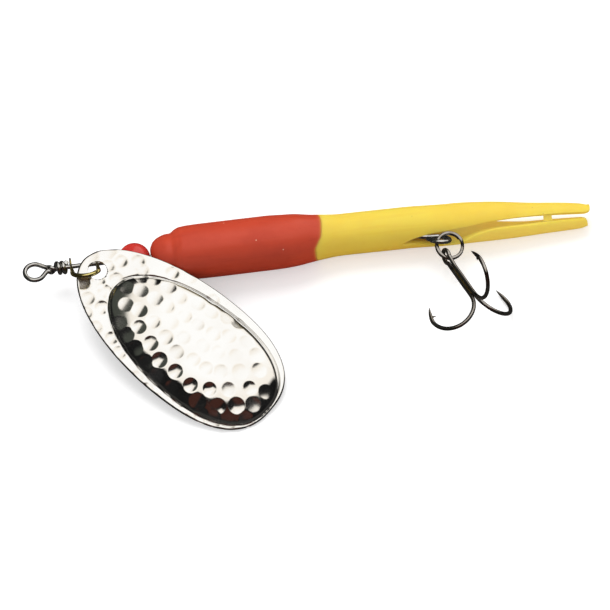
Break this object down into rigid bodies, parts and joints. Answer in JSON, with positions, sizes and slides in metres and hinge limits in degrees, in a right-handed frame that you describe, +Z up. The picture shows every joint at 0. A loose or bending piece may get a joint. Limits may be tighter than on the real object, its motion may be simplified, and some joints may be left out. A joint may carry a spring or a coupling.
{
  "type": "in-line spinner lure",
  "caption": "In-line fishing spinner: a wire shaft carries a hammered blade on a clevis, a bead and a soft split-tail tube over a weight, with a split ring and a treble hook.",
  "frame": {"origin": "centre of the line-tie eye at the front of the shaft wire", "axes": "+X back along the straight shaft, from the eye to the tails; +Z up from the table the lure lies on; +Y across, away from the blade"},
  "size_m": [0.1059, 0.0412, 0.016],
  "materials": {
    "shaft_steel": "bright drawn stainless wire",
    "clevis_brass": "bright bent brass wire",
    "blade_silver": "hammered silver plate",
    "bead_red": "glossy red",
    "weight_metal": "turned, unplated",
    "sleeve_metal": "plain drawn tube",
    "tube_red": "satin red soft plastic",
    "tube_yellow": "satin yellow soft plastic, slightly translucent",
    "ring_nickel": "dark nickel plate",
    "hook_nickel": "dark nickel plate",
    "braze_brass": "tarnished braze"
  },
  "bodies": {
    "body": {"shaft_wire": "shaft_steel", "body_weight": "weight_metal", "spacer_sleeve": "sleeve_metal", "tube_head": "tube_red", "tube_tail": "tube_yellow"},
    "bead": {"bearing_bead": "bead_red"},
    "clevis": {"clevis": "clevis_brass"},
    "blade": {"spinner_blade": "blade_silver"},
    "ring": {"split_ring": "ring_nickel"},
    "treble": {"treble_pair_wire": "hook_nickel", "treble_third_hook": "hook_nickel", "treble_braze": "braze_brass"}
  },
  "joints": [
    {"name": "bead_spin", "type": "hinge", "parent": "body", "child": "bead", "pos_m": [0.01869, 0, 0], "axis": [1, 0, 0], "continuous": true},
    {"name": "clevis_spin", "type": "hinge", "parent": "body", "child": "clevis", "pos_m": [0.00921, 0, 0], "axis": [1, 0, 0], "continuous": true},
    {"name": "blade_swing", "type": "hinge", "parent": "clevis", "child": "blade", "pos_m": [0.00921, -0.00331, 0.00315], "axis": [0, -0.6896, -0.7242], "range_deg": [0, 80]},
    {"name": "ring_swing", "type": "hinge", "parent": "body", "child": "ring", "pos_m": [0.0754, -0.0038, 0.0004], "axis": [-0.1622, -0.6808, -0.7143], "range_deg": [-10, 60]},
    {"name": "treble_swing", "type": "hinge", "parent": "ring", "child": "treble", "pos_m": [0.07622, -0.0072, -0.00045], "axis": [0.9377, -0.2821, -0.2029], "range_deg": [-60, 90]}
  ]
}
